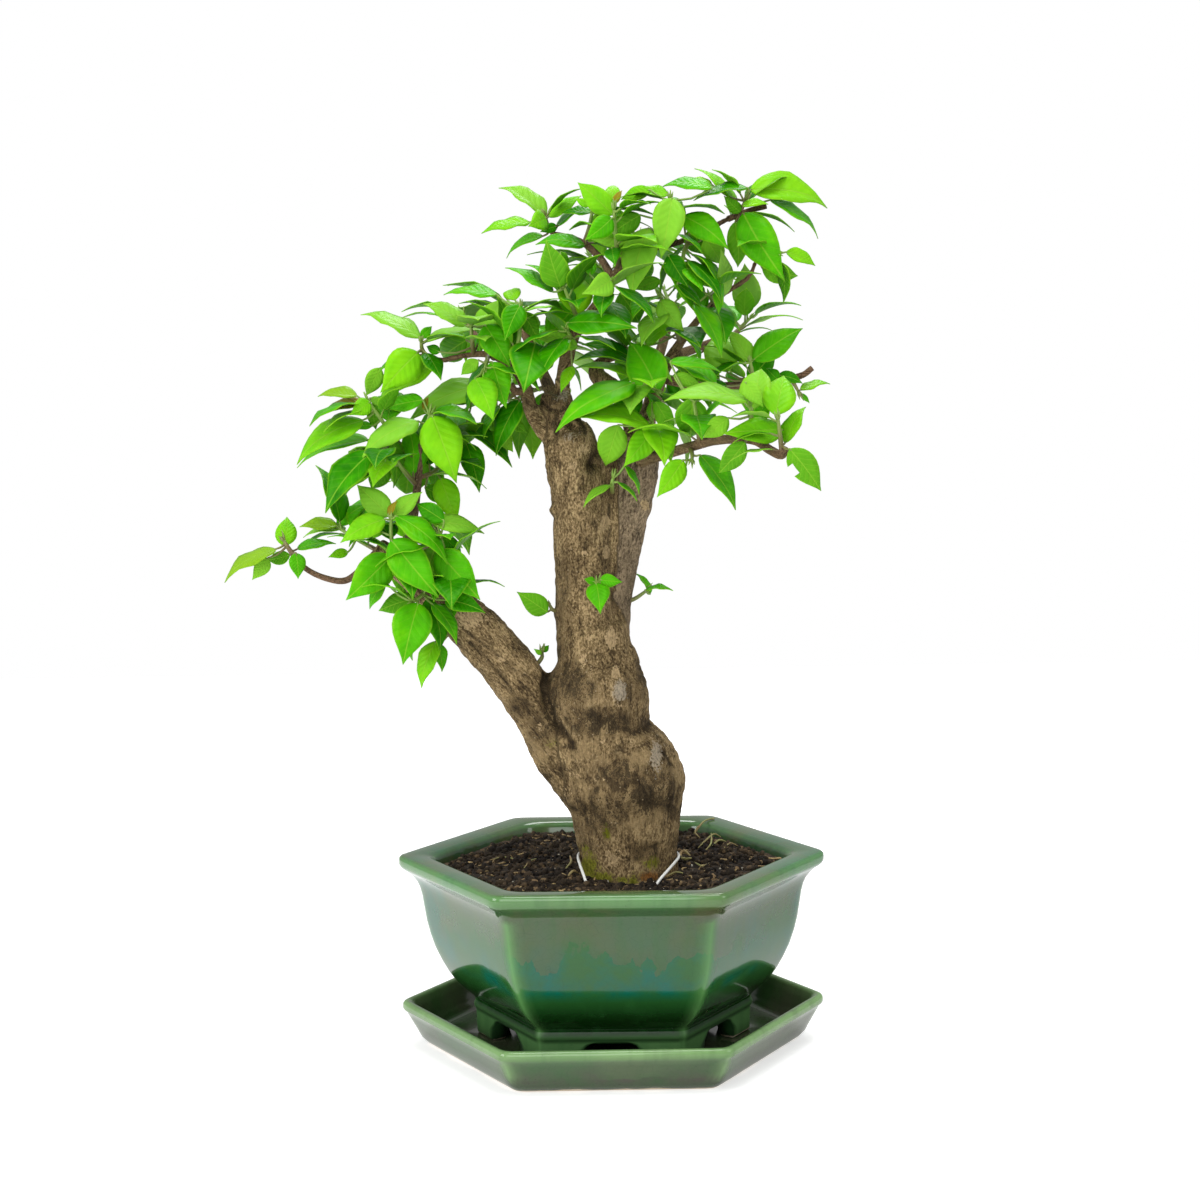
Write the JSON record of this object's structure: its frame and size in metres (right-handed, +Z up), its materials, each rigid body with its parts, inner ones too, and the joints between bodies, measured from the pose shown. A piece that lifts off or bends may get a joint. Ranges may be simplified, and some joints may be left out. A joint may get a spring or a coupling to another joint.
{
  "type": "bougainvillea bonsai in a pot",
  "caption": "Bougainvillea bonsai with a thick trunk, one long bough and leafy shoots, in a green glazed hexagonal pot on its matching saucer.",
  "frame": {"origin": "centre of the saucer's flat underside", "axes": "+Z up the trunk, -Y towards the viewer's side of the plant, +X to that viewer's right"},
  "size_m": [0.3435, 0.261, 0.5049],
  "materials": {
    "glaze": "gloss",
    "netting": "matte",
    "soil": "matte",
    "bark": "matte",
    "white_coating": "satin",
    "leaf": "satin"
  },
  "bodies": {
    "root": {"saucer": "glaze", "pot": "glaze", "drainage_mesh": "netting", "soil": "soil", "trunk_wood": "bark", "anchor_wire": "white_coating", "leafy_backLeftLow": "leaf", "leafy_backLeftMiddle": "leaf", "leafy_backLeftTip": "leaf", "leafy_backRightLow": "leaf", "leafy_backRightMiddle": "leaf", "leafy_backRightTip": "leaf", "leafy_backTopMiddle": "leaf", "leafy_backTopTip": "leaf", "leafy_boughBackLow": "leaf", "leafy_boughBackTip": "leaf", "leafy_boughEndBack": "leaf", "leafy_boughEndFront": "leaf", "leafy_boughRightSpray": "leaf", "leafy_boughThornLeaves": "leaf", "leafy_boughTwigTip": "leaf", "leafy_boughUnderLeaves": "leaf", "leafy_centreDark": "leaf", "leafy_centreHeart": "leaf", "leafy_centreRound": "leaf", "leafy_farRightMiddle": "leaf", "leafy_farRightTip": "leaf", "leafy_leaderLow": "leaf", "leafy_leaderLowFront": "leaf", "leafy_leaderRightDrop": "leaf", "leafy_leftForkSpray": "leaf", "leafy_leftSprayHigh": "leaf", "leafy_leftSprayLow": "leaf", "leafy_leftTopHanging": "leaf", "leafy_leftTopHeart": "leaf", "leafy_leftTopTip": "leaf", "leafy_nearEnd": "leaf", "leafy_nearMiddle": "leaf", "leafy_nearTip": "leaf", "leafy_nearUnder": "leaf", "leafy_rightInner": "leaf", "leafy_rightRiserMiddle": "leaf", "leafy_rightRiserTip": "leaf", "leafy_rightSpanLeaves": "leaf", "leafy_rightSpanTip": "leaf", "leafy_riserMiddle": "leaf", "leafy_riserTip": "leaf", "leafy_sproutBough": "leaf", "leafy_sproutFront": "leaf", "leafy_sproutHigh": "leaf", "leafy_sproutLeft": "leaf", "leafy_sproutRight": "leaf", "leafy_stemTopSpray": "leaf", "leafy_topCentre": "leaf", "leafy_topFarRight": "leaf", "leafy_topLeftMiddle": "leaf", "leafy_topLeftTip": "leaf", "leafy_topRight": "leaf", "leafy_underLeftTop": "leaf", "leafy_upperLeftTip": "leaf"}
  },
  "joints": []
}
